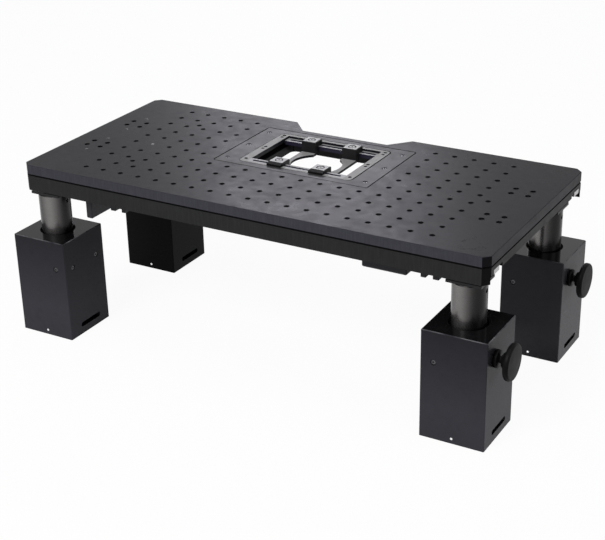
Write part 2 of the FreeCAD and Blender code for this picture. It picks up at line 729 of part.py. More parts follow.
# Posts, their mounts, the leg boxes and the clamp knobs
for side, sign in (("left", -1), ("right", 1)):
    for end, way in (("front", "-post_front"), ("rear", "post_rear")):
        corner = "%s_%s" % (side, end)
        post_x = "plate_x + %d * post_x" % sign
        post_y = "plate_y + " + way
        keep(box("Mount_" + corner, post_x, post_y, "post_top", "mount_width", "mount_depth",
                 "mount_thickness"), "post_mount_" + corner)
        shaft = cylinder("Shaft_" + corner, post_x, post_y, "post_top - post_length", "post_radius",
                         "post_length - post_edge")
        end_cone = cone("EndCone_" + corner, post_x, post_y, "post_top - post_edge", "post_radius",
                        "post_radius - post_edge", "post_edge")
        rod = fuse("Rod_" + corner, shaft, end_cone)
        hole = cylinder("RodHole_" + corner, post_x, post_y, "post_top - post_hole_drop",
                        "post_hole / 2", "post_radius + 1", along=(1, 0, 0))
        keep(cut("Post_" + corner, rod, hole), "post_" + corner)

        leg = new_body("leg_box_" + corner, post_x, post_y, "0")
        outline = new_sketch(leg, corner + "LegOutline")
        rectangle(outline, "leg_width", "leg_width")
        slab = pad(leg, corner + "Leg", outline, "leg_height")
        slab = cut_corners(leg, corner + "LegEdges", slab, corners_of("leg_width", "leg_width"),
                           "leg_edge")
        break_rim(leg, corner + "LegRim", slab, "leg_height", "leg_edge")
        bore =new_sketch(leg, corner + "LegBore", level="leg_height")
        circle(bore, "post_radius + leg_play")
        pocket(leg, corner + "LegBoreCut", bore, "leg_height - leg_floor")
        mouth = new_sketch(leg, corner + "LegMouth", level="leg_height")
        circle(mouth, "leg_mouth / 2")
        pocket(leg, corner + "LegMouthCut", mouth, "leg_mouth_depth")
        foot = new_sketch(leg, corner + "Foot")
        rectangle(foot, "leg_width - 2 * foot_wall", "leg_width - 2 * foot_wall")
        pocket(leg, corner + "FootCut", foot, "foot_depth", upwards=True)
        slot = new_sketch(leg, corner + "FootSlot", x="foot_slot_shift", y="foot_slot_level",
                          level="leg_width / 2", plane="YZ_Plane")
        stadium(slot, "foot_slot_length", "foot_slot_height")
        pocket(leg, corner + "FootSlotCut", slot, "foot_wall + 1")
        # Clamp screws high on the inner faces and a pin low on the front face
        screw_level = "leg_height - leg_screw_drop"
        for face, plane, level, spots, inwards in (
                ("Front", "XZ_Plane", "leg_width / 2", ("%d * leg_screw_place" % -sign,), False),
                ("Inner", "YZ_Plane", "%d * leg_width / 2" % -sign,
                 ("-leg_screw_place", "leg_screw_place"), side == "right")):
            screw = new_sketch(leg, corner + face + "Screw", level=level, plane=plane)
            for spot in spots:
                circle(screw, "leg_screw_head / 2", spot, screw_level)
            pocket(leg, corner + face + "ScrewCut", screw, "leg_screw_sink", upwards=inwards)
        pin = new_sketch(leg, corner + "FootPin", level="leg_width / 2", plane="XZ_Plane")
        circle(pin, "foot_pin / 2", "0", "foot_pin_level")
        pocket(leg, corner + "FootPinCut", pin, "foot_pin_sink")
        if side == "right":
            socket = new_sketch(leg, corner + "KnobSocket", x="-knob_offset", y="knob_level",
                                level="leg_width / 2", plane="YZ_Plane")
            circle(socket, "stem_radius + stem_play")
            pocket(leg, corner + "KnobSocketCut", socket, "leg_width / 2 - post_radius / 2")

            # The stem's tip stops short of the post, the disc stands clear of the leg
            knob = new_body("clamp_knob_" + end, "plate_x + post_x + leg_width / 2",
                            post_y + " - knob_offset", "knob_level")
            disc = new_sketch(knob, end + "Disc", level="knob_stand", plane="YZ_Plane")
            circle(disc, "knob_radius")
            disc = pad(knob, end + "DiscPad", disc, "knob_thickness")
            rounded = knob.newObject("PartDesign::Fillet", end + "DiscRim")
            rounded.Base = (disc, outer_edges(disc, "knob_reach", "X")
                            + outer_edges(disc, "knob_stand", "X"))
            bind(rounded, "Radius", "knob_round")
            doc.recompute()
            tip = ("sqrt((post_radius + leg_play)^2 - (knob_offset - stem_radius)^2) + stem_tip_gap"
                   " - leg_width / 2")
            for part, radius, start, length in (
                    ("Hub", "hub_radius", "knob_stand - hub_length", "hub_length"),
                    ("Stem", "stem_radius", tip, "knob_stand - (" + tip + ")"),
                    ("Boss", "boss_radius", "leg_play", "boss_length")):
                ring = new_sketch(knob, end + part, level=start, plane="YZ_Plane")
                circle(ring, radius)
                pad(knob, end + part + "Pad", ring, length)

doc.recompute()


def problems():
    found = []
    for thing in doc.Objects:
        if "Invalid" in thing.State or "Error" in thing.State:
            found.append("%s: %s" % (thing.Name, thing.State))
        if thing.TypeId == "PartDesign::Pocket":
            before = thing.BaseFeature.Shape.Volume
            if before - thing.Shape.Volume < 1e-3:
                found.append("%s cuts nothing" % thing.Name)
    for piece in PIECES:
        shape = piece.Shape
        if shape.isNull() or not shape.isValid() or shape.Volume <= 0:
            found.append("%s has no sound shape" % piece.Label)
    return found


faults = problems()
if faults:
    raise RuntimeError("; ".join(faults))

os.makedirs("parts", exist_ok=True)
for piece in PIECES:
    piece.Shape.exportStep("parts/%s.step" % piece.Label)
print("%d pieces" % len(PIECES))
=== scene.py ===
import math

import bmesh
import bpy
from mathutils import Matrix, Vector


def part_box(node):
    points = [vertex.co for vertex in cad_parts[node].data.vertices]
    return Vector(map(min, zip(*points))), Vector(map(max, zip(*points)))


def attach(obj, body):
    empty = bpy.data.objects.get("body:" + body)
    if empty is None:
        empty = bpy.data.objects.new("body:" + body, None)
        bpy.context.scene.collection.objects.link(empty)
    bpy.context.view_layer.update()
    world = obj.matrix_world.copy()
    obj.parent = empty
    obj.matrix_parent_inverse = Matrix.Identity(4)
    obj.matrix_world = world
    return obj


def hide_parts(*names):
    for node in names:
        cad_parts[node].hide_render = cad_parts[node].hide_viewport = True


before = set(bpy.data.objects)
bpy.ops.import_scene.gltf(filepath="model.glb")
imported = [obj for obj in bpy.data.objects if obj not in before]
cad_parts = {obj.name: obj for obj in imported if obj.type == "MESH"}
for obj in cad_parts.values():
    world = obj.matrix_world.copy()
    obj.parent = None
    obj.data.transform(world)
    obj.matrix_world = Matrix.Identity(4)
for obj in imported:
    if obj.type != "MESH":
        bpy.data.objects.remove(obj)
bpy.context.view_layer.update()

# Leg boxes: four square aluminium blocks, bored for the posts, milled and black
# anodised, with a nearly polished top. The rear ones are lit and shaded copies of
# the coat: painted shade darkens the left rear one, under the plate, and painted
# light brightens the right rear one. The base frame and the mounts of the posts
# have a duller black coat.


def effect(name, inputs, outputs):
    """A new shader node group with its sockets, its links and its end nodes."""
    group = bpy.data.node_groups.new(name, "ShaderNodeTree")
    for socket, kind, start in inputs:
        made = group.interface.new_socket(name=socket, in_out="INPUT", socket_type=kind)
        made.default_value = start
    for socket, kind in outputs:
        group.interface.new_socket(name=socket, in_out="OUTPUT", socket_type=kind)
    return group, group.nodes.new("NodeGroupInput"), group.nodes.new("NodeGroupOutput")


def node(tree, kind, wires=(), **values):
    """A node with its settings, and the wires that come into it."""
    made = tree.nodes.new("ShaderNode" + kind)
    for key, setting in values.items():
        setattr(made, key, setting)
    for socket, source in wires:
        if isinstance(source, bpy.types.NodeSocket):
            tree.links.new(source, made.inputs[socket])
        else:
            made.inputs[socket].default_value = source
    return made


def anodised_grain():
    """Etched grain with soft clouds: what a coat on milled aluminium shows."""
    group, start, end = effect(
        "anodised_grain",
        [("Colour", "NodeSocketColor", (0.03, 0.03, 0.03, 1)), ("Roughness", "NodeSocketFloat", 0.35),
         ("Unevenness", "NodeSocketFloat", 0.12), ("Grain size", "NodeSocketFloat", 1400.0)],
        [("Colour", "NodeSocketColor"), ("Roughness", "NodeSocketFloat"), ("Height", "NodeSocketFloat")])
    place = node(group, "TexCoord")
    grain = node(group, "TexNoise", [("Vector", place.outputs["Object"]),
                                     ("Scale", start.outputs["Grain size"]), ("Detail", 3.0)])
    cloud = node(group, "TexNoise", [("Vector", place.outputs["Object"]), ("Scale", 17.0),
                                     ("Detail", 4.0), ("Roughness", 0.6)])
    patch = node(group, "TexNoise", [("Vector", place.outputs["Object"]), ("Scale", 90.0),
                                     ("Detail", 2.0)])
    sum_one = node(group, "Math", [(0, cloud.outputs["Fac"]), (1, patch.outputs["Fac"])])
    sum_two = node(group, "Math", [(0, sum_one.outputs[0]), (1, grain.outputs["Fac"])])
    centred = node(group, "Math", [(0, sum_two.outputs[0]), (1, 1.5)], operation="SUBTRACT")
    swing = node(group, "Math", [(0, centred.outputs[0]), (1, start.outputs["Unevenness"])],
                 operation="MULTIPLY")
    shade = node(group, "Math", [(0, swing.outputs[0]), (1, 1.0)])
    tint = node(group, "VectorMath", [(0, start.outputs["Colour"])], operation="SCALE")
    group.links.new(shade.outputs[0], tint.inputs["Scale"])
    rough = node(group, "Math", [(0, swing.outputs[0]), (1, start.outputs["Roughness"])])
    group.links.new(tint.outputs[0], end.inputs["Colour"])
    group.links.new(rough.outputs[0], end.inputs["Roughness"])
    group.links.new(grain.outputs["Fac"], end.inputs["Height"])
    return group


def edge_masks_wear_and_light():
    """Masks of the broken edges of a milled piece: worn spots on upper rims, lightened as wear and partly
    as a painted highlight, the rims and the corner cuts.
    """
    group, start, end = effect("edge_masks_wear_and_light", [("Wear", "NodeSocketFloat", 0.6)],
                               [("Mask", "NodeSocketFloat"), ("Rims", "NodeSocketFloat"),
                                ("Corners", "NodeSocketFloat")])
    place = node(group, "TexCoord")
    upright = node(group, "VectorMath", [(0, place.outputs["Normal"])], operation="ABSOLUTE")
    parts = node(group, "SeparateXYZ", [(0, upright.outputs[0])])
    widest = node(group, "Math", [(0, parts.outputs["X"]), (1, parts.outputs["Y"])],
                  operation="MAXIMUM")
    widest = node(group, "Math", [(0, widest.outputs[0]), (1, parts.outputs["Z"])],
                  operation="MAXIMUM")
    slant = node(group, "MapRange", [("Value", widest.outputs[0]), ("From Min", 0.8),
                                     ("From Max", 0.72), ("To Min", 0.0), ("To Max", 1.0)])
    level = node(group, "MapRange", [("Value", parts.outputs["Z"]), ("From Min", 0.2),
                                     ("From Max", 0.4)])
    rims = node(group, "Math", [(0, slant.outputs[0]), (1, level.outputs[0])],
                operation="MULTIPLY")
    corners = node(group, "Math", [(0, slant.outputs[0]), (1, rims.outputs[0])],
                   operation="SUBTRACT")
    blotch = node(group, "TexNoise", [("Vector", place.outputs["Object"]), ("Scale", 60.0),
                                      ("Detail", 5.0)])
    gaps = node(group, "MapRange", [("Value", blotch.outputs["Fac"]), ("From Min", 0.35),
                                    ("From Max", 0.65)])
    worn_and_highlit = node(group, "Math", [(0, rims.outputs[0]), (1, gaps.outputs[0])], operation="MULTIPLY")
    worn_and_highlit = node(group, "Math", [(0, worn_and_highlit.outputs[0]), (1, start.outputs["Wear"])],
                operation="MULTIPLY")
    group.links.new(worn_and_highlit.outputs[0], end.inputs["Mask"])
    group.links.new(rims.outputs[0], end.inputs["Rims"])
    group.links.new(corners.outputs[0], end.inputs["Corners"])
    return group


def fine_scratches():
    """Hair scratches along one direction, as wiping and sliding parts leave."""
    group, start, end = effect(
        "fine_scratches", [("Across", "NodeSocketVector", (900.0, 30.0, 900.0)),
                           ("Amount", "NodeSocketFloat", 0.3)], [("Mask", "NodeSocketFloat")])
    place = node(group, "TexCoord")
    drawn = node(group, "VectorMath", [(0, place.outputs["Object"]), (1, start.outputs["Across"])],
                 operation="MULTIPLY")
    hairs = node(group, "TexNoise", [("Vector", drawn.outputs[0]), ("Scale", 1.0), ("Detail", 3.0),
                                     ("Roughness", 0.7)])
    sharp = node(group, "MapRange", [("Value", hairs.outputs["Fac"]), ("From Min", 0.55),
                                     ("From Max", 0.75)])
    scaled = node(group, "Math", [(0, sharp.outputs[0]), (1, start.outputs["Amount"])],
                  operation="MULTIPLY")
    group.links.new(scaled.outputs[0], end.inputs["Mask"])
    return group


GRAIN = anodised_grain()
EDGES = edge_masks_wear_and_light()
SCRATCHES = fine_scratches()


def use(tree, group, **values):
    """Place a shared effect in a material, its inputs named with underscores."""
    made = tree.nodes.new("ShaderNodeGroup")
    made.node_tree = group
    for key, setting in values.items():
        socket = made.inputs[key.replace("_", " ")]
        if isinstance(setting, bpy.types.NodeSocket):
            tree.links.new(setting, socket)
        else:
            socket.default_value = setting
    return made


def new_finish(name, specular, metallic=0.0):
    """An empty material with its Principled shader and the constants on it."""
    material = bpy.data.materials.new(name)
    material.use_nodes = True
    shader = material.node_tree.nodes["Principled BSDF"]
    shader.inputs["Specular IOR Level"].default_value = specular
    shader.inputs["Metallic"].default_value = metallic
    return material, material.node_tree, shader


def join(tree, shader, colour, roughness, height, strength, distance):
    """Wire a material's colour, roughness and relief to its shader."""
    relief = node(tree, "Bump", [("Height", height), ("Strength", strength), ("Distance", distance)])
    tree.links.new(colour, shader.inputs["Base Color"])
    tree.links.new(roughness, shader.inputs["Roughness"])
    tree.links.new(relief.outputs["Normal"], shader.inputs["Normal"])


# A face takes a direction's shade as its normal turns to it between two shares,
# and painted light on the foot of a leg rises between two heights
FACING = 0.75, 0.9
PAINTED_FOOT_LIGHT_LEVELS = 0.13, 0.04


def anodised(name, colour, roughness, specular, wear, scratch=(900.0, 30.0, 900.0),
             edge_colour=(0.16, 0.16, 0.17), top_colour_and_sheen=None, top_roughness=None, top_coat=0.0,
             painted_foot_light=0.0):
    """Coated aluminium: the faces that look up take their own colour, a painted sheen on the frame, bars,
    arms and clamps, and painted light rises towards the foot if given.
    """
    material, tree, shader = new_finish(name, specular)
    base = (*colour, 1)
    edge = (*edge_colour, 1)
    rough = roughness
    if top_colour_and_sheen:
        place = node(tree, "TexCoord")
        parts = node(tree, "SeparateXYZ", [(0, place.outputs["Normal"])])
        up = node(tree, "MapRange", [("Value", parts.outputs["Z"]), ("From Min", FACING[0]),
                                     ("From Max", FACING[1])])
        shades = node(tree, "MixRGB", [("Fac", up.outputs[0]), ("Color1", base),
                                       ("Color2", (*top_colour_and_sheen, 1))])
        base = shades.outputs["Color"]
        rough = node(tree, "MapRange", [("Value", up.outputs[0]), ("To Min", roughness),
                                        ("To Max", top_roughness)]).outputs[0]
        if top_coat > 0:
            polish = node(tree, "Math", [(0, up.outputs[0]), (1, top_coat)], operation="MULTIPLY")
            tree.links.new(polish.outputs[0], shader.inputs["Coat Weight"])
    # Painted light: the colour grows lighter towards the bottom of the piece.
    if painted_foot_light > 0:
        place = node(tree, "TexCoord")
        parts = node(tree, "SeparateXYZ", [(0, place.outputs["Object"])])
        share = node(tree, "MapRange", [("Value", parts.outputs["Z"]), ("From Min", PAINTED_FOOT_LIGHT_LEVELS[0]),
                                        ("From Max", PAINTED_FOOT_LIGHT_LEVELS[1]), ("To Min", 1.0),
                                        ("To Max", 1.0 + painted_foot_light)])
        lighter = node(tree, "VectorMath", [(0, base)], operation="SCALE")
        tree.links.new(share.outputs[0], lighter.inputs["Scale"])
        base = lighter.outputs[0]
    coat = use(tree, GRAIN, Colour=base, Roughness=rough)
    hairs = use(tree, SCRATCHES, Across=scratch, Amount=0.25)
    rim_masks = use(tree, EDGES, Wear=wear)
    thin = node(tree, "Math", [(0, hairs.outputs["Mask"]), (1, 0.12)], operation="MULTIPLY")
    marked = node(tree, "MixRGB", [("Fac", thin.outputs[0]), ("Color1", coat.outputs["Colour"]),
                                   ("Color2", edge)])
    worn_and_highlit = node(tree, "MixRGB", [("Fac", rim_masks.outputs["Mask"]), ("Color1", marked.outputs["Color"]),
                                 ("Color2", edge)])
    join(tree, shader, worn_and_highlit.outputs["Color"], coat.outputs["Roughness"], coat.outputs["Height"],
         0.25, 0.00002)
    return material


def dress(material, *names):
    """Give CAD nodes their finish."""
    for name in names:
        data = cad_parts[name].data
        data.materials.clear()
        data.materials.append(material)


CORNERS = ("left_front", "left_rear", "right_front", "right_rear")
# Lit and shaded copies of one leg coat: painted shade on the left rear leg, painted light on the right
# rear leg, and painted light rising towards the feet
LEG_COATS = {
    ("left_front", "right_front"): dict(
        name="leg_black_anodised", colour=(0.017, 0.0165, 0.02), specular=0.045, painted_foot_light=1.1,
        top_colour_and_sheen=(0.003, 0.003, 0.0035), top_coat=0.16),
    ("left_rear",): dict(
        name="leg_black_anodised_painted_shade", colour=(0.004, 0.004, 0.0045), specular=0.035,
        top_colour_and_sheen=(0.004, 0.004, 0.0045), top_coat=0.28),
    ("right_rear",): dict(
        name="leg_black_anodised_painted_light", colour=(0.038, 0.037, 0.042), specular=0.05, painted_foot_light=0.3,
        top_colour_and_sheen=(0.004, 0.004, 0.0045), top_coat=0.32)}
# On the legs the lighter upper rims are partly wear, partly a painted highlight.
for corners, shades in LEG_COATS.items():
    leg_coat = anodised(roughness=0.3, wear=0.9, scratch=(40.0, 40.0, 700.0),
                        edge_colour=(0.12, 0.12, 0.13), top_roughness=0.12, **shades)
    dress(leg_coat, *["leg_box_" + corner for corner in corners])
base_coat = anodised("base_dark_anodised", (0.012, 0.012, 0.013), 0.4, 0.15, wear=0.2)
dress(base_coat, "base_frame", *["post_mount_" + corner for corner in CORNERS])

# Clamp screws of the legs: small socket head screws, worn bright and sunk in the
# front and inner faces, that close each leg box on its post.
SCREW_SIDES = 24
SCREW_RIM_SHARE = 0.14
SAME_POINT = 1e-7


def spun(profile, sides):
    """A profile of heights and radii, turned full circle round the upright axis."""
    mesh = bmesh.new()
    points = [mesh.verts.new((radius, 0, height)) for height, radius in profile]
    edges = [mesh.edges.new(pair) for pair in zip(points, points[1:])]
    bmesh.ops.spin(mesh, geom=points + edges, cent=(0, 0, 0), axis=(0, 0, 1), angle=2 * math.pi,
                   steps=sides, use_merge=True)
    bmesh.ops.remove_doubles(mesh, verts=mesh.verts, dist=SAME_POINT)
    return mesh


def points_of(geometry):
    """The vertices in what an operator gave back."""
    return [part for part in geometry if isinstance(part, bmesh.types.BMVert)]


def turn_to(axis):
    """The turn that brings the upright axis to this one."""
    return Vector((0, 0, 1)).rotation_difference(Vector(axis)).to_matrix().to_4x4()


def finished(name, mesh, material, body):
    """A drawn mesh as a piece of the scene, with its finish, on its body."""
    data = bpy.data.meshes.new(name)
    mesh.to_mesh(data)
    mesh.free()
    data.materials.append(material)
    piece = bpy.data.objects.new(name, data)
    bpy.context.scene.collection.objects.link(piece)
    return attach(piece, body)


def hexagon(reach):
    """Outline of a hexagon socket, its corners this far from the middle."""
    return [(reach * math.cos(math.radians(step)), reach * math.sin(math.radians(step)))
            for step in range(0, 360, 60)]


def cross(reach, half):
    """Outline of a cross slot with four arms, each twice the half width wide."""
    arm = [(reach, -half), (reach, half), (half, half)]
    turned = [arm, [(-y, x) for x, y in arm], [(-x, -y) for x, y in arm], [(y, -x) for x, y in arm]]
    return [corner for quarter in turned for corner in quarter]


def screw_head(radius, height, recess, depth):
    """A head with a rounded rim whose flat top, at zero, has a recess in it."""
    rim = radius * SCREW_RIM_SHARE
    mesh = spun([(-height, 0.0), (-height, radius), (-rim, radius), (-0.3 * rim, radius - 0.3 * rim),
                 (0.0, radius - rim)], SCREW_SIDES)
    upper = [edge for edge in mesh.edges if all(abs(end.co.z) < SAME_POINT for end in edge.verts)]
    corners = [mesh.verts.new((x, y, 0)) for x, y in recess]
    lip = [mesh.edges.new((corners[step - 1], corners[step])) for step in range(len(corners))]
    bmesh.ops.triangle_fill(mesh, edges=upper + lip, use_beauty=True)
    well = bmesh.ops.extrude_edge_only(mesh, edges=lip)["geom"]
    floor = points_of(well)
    bmesh.ops.translate(mesh, verts=floor, vec=(0, 0, -depth))
    bmesh.ops.contextual_create(mesh, geom=[part for part in well
                                            if isinstance(part, bmesh.types.BMEdge)
                                            and set(part.verts) <= set(floor)])
    bmesh.ops.recalc_face_normals(mesh, faces=mesh.faces)
    return mesh


def screws(name, head, material, body, places, axis=(0, 0, 1)):
    """One piece of like screws, each with the outer face of its head on its place."""
    joined = bmesh.new()
    single_data = bpy.data.meshes.new("single_screw")
    for place in places:
        single = screw_head(**head)
        single.transform(Matrix.Translation(place) @ turn_to(axis))
        single.to_mesh(single_data)
        single.free()
        joined.from_mesh(single_data)
    bpy.data.meshes.remove(single_data)
    return finished(name, joined, material, body)


def black_oxide(name, colour=(0.02, 0.02, 0.022), roughness=0.3, specular=0.5, metallic=0.0):
    """Oiled black steel of the small screws and pins; made near black, it also paints the shade in the
    threads and counterbores.
    """
    material, tree, shader = new_finish(name, specular, metallic)
    coat = use(tree, GRAIN, Colour=(*colour, 1), Roughness=roughness, Unevenness=0.25)
    join(tree, shader, coat.outputs["Colour"], coat.outputs["Roughness"], coat.outputs["Height"],
         0.3, 0.00002)
    return material


screw_black = black_oxide("screw_black_oxide")
screw_worn = black_oxide("screw_worn_steel", (0.09, 0.09, 0.095), 0.28, metallic=0.8)
LEG_SCREW = dict(radius=0.0026, height=0.0024, recess=hexagon(0.0015), depth=0.0014)
LEG_SCREW_PLACE = 0.0225
LEG_SCREW_DROP = 0.036
LEG_SCREW_SINK = 0.0006
for corner in CORNERS:
    low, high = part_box("leg_box_" + corner)
    middle = (low + high) / 2
    level = high.z - LEG_SCREW_DROP
    inwards = 1 if corner.startswith("left") else -1
    inner = (high.x if inwards > 0 else low.x) - inwards * LEG_SCREW_SINK
    front_place = Vector((middle.x + inwards * LEG_SCREW_PLACE, low.y + LEG_SCREW_SINK, level))
    inner_places = [Vector((inner, middle.y + way * LEG_SCREW_PLACE, level)) for way in (-1, 1)]
    screws("leg_front_screw_" + corner, LEG_SCREW, screw_worn, "leg_" + corner,
           [front_place], (0, -1, 0))
    screws("leg_inner_screws_" + corner, LEG_SCREW, screw_worn, "leg_" + corner,
           inner_places, (inwards, 0, 0))

# Foot pins: a polished steel pin pressed into the front of each leg, low down,
# its rounded end level with the face.


def ground_steel(name, colour, roughness, grain=(30.0, 900.0, 900.0)):
    """Steel ground along one way, the grain read across it."""
    material, tree, shader = new_finish(name, 0.5, 1.0)
    clouds = use(tree, GRAIN, Colour=(*colour, 1), Roughness=roughness, Unevenness=0.1)
    lines = use(tree, SCRATCHES, Across=grain, Amount=0.5)
    darker = tuple(part * 0.72 for part in colour)
    mixed = node(tree, "MixRGB", [("Fac", lines.outputs["Mask"]),
                                  ("Color1", clouds.outputs["Colour"]), ("Color2", (*darker, 1))])
    duller = node(tree, "Math", [(0, lines.outputs["Mask"]), (1, 0.18)], operation="MULTIPLY")
    rough = node(tree, "Math", [(0, duller.outputs[0]), (1, clouds.outputs["Roughness"])])
    join(tree, shader, mixed.outputs["Color"], rough.outputs[0], lines.outputs["Mask"], 0.2, 0.00003)
    return material


def repeat(mesh, places):
    """Put what is drawn round zero at each of the places."""
    drawn = list(mesh.verts) + list(mesh.edges) + list(mesh.faces)
    for place in places[1:]:
        copy = bmesh.ops.duplicate(mesh, geom=drawn)["geom"]
        bmesh.ops.translate(mesh, verts=points_of(copy), vec=place - places[0])
    bmesh.ops.translate(mesh, verts=mesh.verts, vec=places[0])


def turned_piece(name, profile, sides, material, body, places, axis=(0, 0, 1)):
    """One piece, turned smooth from a profile of heights and radii, once for each place."""
    mesh = spun(profile, sides)
    bmesh.ops.recalc_face_normals(mesh, faces=mesh.faces)
    for face in mesh.faces:
        face.smooth = True
    mesh.transform(turn_to(axis))
    repeat(mesh, places)
    return finished(name, mesh, material, body)


pin_polish = ground_steel("pin_polished_steel", (0.82, 0.82, 0.83), 0.16)
FOOT_PIN = [(-0.001, 0.0), (-0.001, 0.0018), (-0.0001, 0.0018), (0.0002, 0.0013), (0.0003, 0.0)]
PIN_LEVEL = 0.0055
PIN_SINK = 0.0004
PIN_SIDES = 24
for corner in CORNERS:
    low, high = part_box("leg_box_" + corner)
    place = Vector(((low.x + high.x) / 2, low.y + PIN_SINK, PIN_LEVEL))
    turned_piece("foot_pin_" + corner, FOOT_PIN, PIN_SIDES, pin_polish,
                 "leg_" + corner, [place], (0, -1, 0))

# Posts: solid bars, turned and plated to a dark satin, that slide in the legs
# and are bolted to the mounts above. A set screw closes the hole near the top.
# The light band on each post is a painted highlight; this is the point it faces.
PAINTED_HIGHLIGHT_AIM = 0.015, -1.1, 0.0
PAINTED_HIGHLIGHT_SHARPNESS = 6.0


def turned_satin(name, colour, highlight_colour, roughness):
    """Plated steel, turned round and round, with a painted highlight: a light band on the side towards an
    aim and one on the side away from it.
    """
    material, tree, shader = new_finish(name, 0.5, 0.9)
    place = node(tree, "TexCoord")
    ahead = node(tree, "VectorMath", [(0, PAINTED_HIGHLIGHT_AIM), (1, place.outputs["Object"])],
                 operation="SUBTRACT")
    level = node(tree, "VectorMath", [(0, ahead.outputs[0]), (1, (1.0, 1.0, 0.0))],
                 operation="MULTIPLY")
    front = node(tree, "VectorMath", [(0, level.outputs[0])], operation="NORMALIZE")
    towards = node(tree, "VectorMath", [(0, place.outputs["Normal"]), (1, front.outputs[0])],
                   operation="DOT_PRODUCT")
    facing = node(tree, "Math", [(0, towards.outputs["Value"])], operation="ABSOLUTE")
    band = node(tree, "Math", [(0, facing.outputs[0]), (1, PAINTED_HIGHLIGHT_SHARPNESS)], operation="POWER")
    shades = node(tree, "MixRGB", [("Fac", band.outputs[0]), ("Color1", (*colour, 1)),
                                   ("Color2", (*highlight_colour, 1))])
    clouds = use(tree, GRAIN, Colour=shades.outputs["Color"], Roughness=roughness, Unevenness=0.14)
    rings = use(tree, SCRATCHES, Across=(15.0, 15.0, 2600.0), Amount=0.6)
    rubs = use(tree, SCRATCHES, Across=(500.0, 500.0, 12.0), Amount=0.4)
    marks = node(tree, "Math", [(0, rings.outputs["Mask"]), (1, rubs.outputs["Mask"])],
                 operation="MAXIMUM")
    lighter = node(tree, "VectorMath", [(0, clouds.outputs["Colour"])], operation="SCALE")
    lighter.inputs["Scale"].default_value = 1.3
    mixed = node(tree, "MixRGB", [("Fac", marks.outputs[0]), ("Color1", clouds.outputs["Colour"]),
                                  ("Color2", lighter.outputs[0])])
    join(tree, shader, mixed.outputs["Color"], clouds.outputs["Roughness"], rings.outputs["Mask"],
         0.25, 0.00003)
    return material


post_satin = turned_satin("post_dark_satin_painted_highlight", (0.017, 0.0165, 0.0165), (0.18, 0.172, 0.17), 0.27)
dress(post_satin, *["post_" + corner for corner in CORNERS])
POST_SCREW = dict(radius=0.0023, height=0.003, recess=hexagon(0.0012), depth=0.0016)
POST_SCREW_DROP = 0.009
POST_SCREW_SINK = 0.0012
for corner in CORNERS:
    low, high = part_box("post_" + corner)
    place = Vector((high.x - POST_SCREW_SINK, (low.y + high.y) / 2, high.z - POST_SCREW_DROP))
    screws("post_set_screw_" + corner, POST_SCREW, screw_black, "base", [place],
           (1, 0, 0))

# Drive housings: black boxes under the front bar of the base frame, for the two
# motors. The small blocks beside them stand for the limit switches.
housing_coat = anodised("housing_black_anodised", (0.02, 0.02, 0.024), 0.38, 0.15, wear=0.2)
dress(housing_coat, "right_drive_housing", "left_drive_housing")
BLOCK_PLACES_AND_WIDTHS = ((-0.1805, 0.007), (-0.1655, 0.005), (0.221, 0.006), (0.2355, 0.007))
BLOCK_DEPTH = 0.012
BLOCK_HEIGHT = 0.010
BLOCK_SET_BACK = 0.009
BLOCK_ROUNDING = 0.0006
plate_low, plate_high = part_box("top_plate")
plate_x = (plate_low.x + plate_high.x) / 2
plate_y = (plate_low.y + plate_high.y) / 2
base_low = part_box("base_frame")[0]
blocks = bmesh.new()
for place, width in BLOCK_PLACES_AND_WIDTHS:
    cube = bmesh.ops.create_cube(blocks, size=1)["verts"]
    bmesh.ops.scale(blocks, verts=cube, vec=(width, BLOCK_DEPTH, BLOCK_HEIGHT))
    bmesh.ops.translate(blocks, verts=cube, vec=(plate_x + place, base_low.y + BLOCK_SET_BACK,
                                                 base_low.z - BLOCK_HEIGHT / 2))
    edges = list({edge for corner in cube for edge in corner.link_edges})
    bmesh.ops.bevel(blocks, geom=edges, offset=BLOCK_ROUNDING, segments=2, affect="EDGES",
                    profile=0.5, material=-1)
bmesh.ops.recalc_face_normals(blocks, faces=blocks.faces)
finished("switch_blocks", blocks, housing_coat, "base")

# Rails and carriages: ground steel rails that are screwed to the deck, and the
# blocks that run along them, of a duller steel.
rail_steel = ground_steel("rail_ground_steel", (0.43, 0.42, 0.425), 0.3)
dress(rail_steel, "x_rail_front", "x_rail_rear_left", "x_rail_rear_right")
rail_steel_along_y = ground_steel("rail_ground_steel_deep", (0.43, 0.42, 0.425), 0.3,
                                  grain=(900.0, 30.0, 900.0))
dress(rail_steel_along_y, "y_rail_left", "y_rail_right")
carriage_steel = ground_steel("carriage_steel", (0.4, 0.4, 0.42), 0.36)
dress(carriage_steel, *["%s_carriage_%s" % (way, corner) for way in "xy" for corner in CORNERS])

# Deck and top plate: thick tooling plate, milled all over and hard anodised to
# a dark grey with a violet cast on its cut edges. The top has the hole grid.


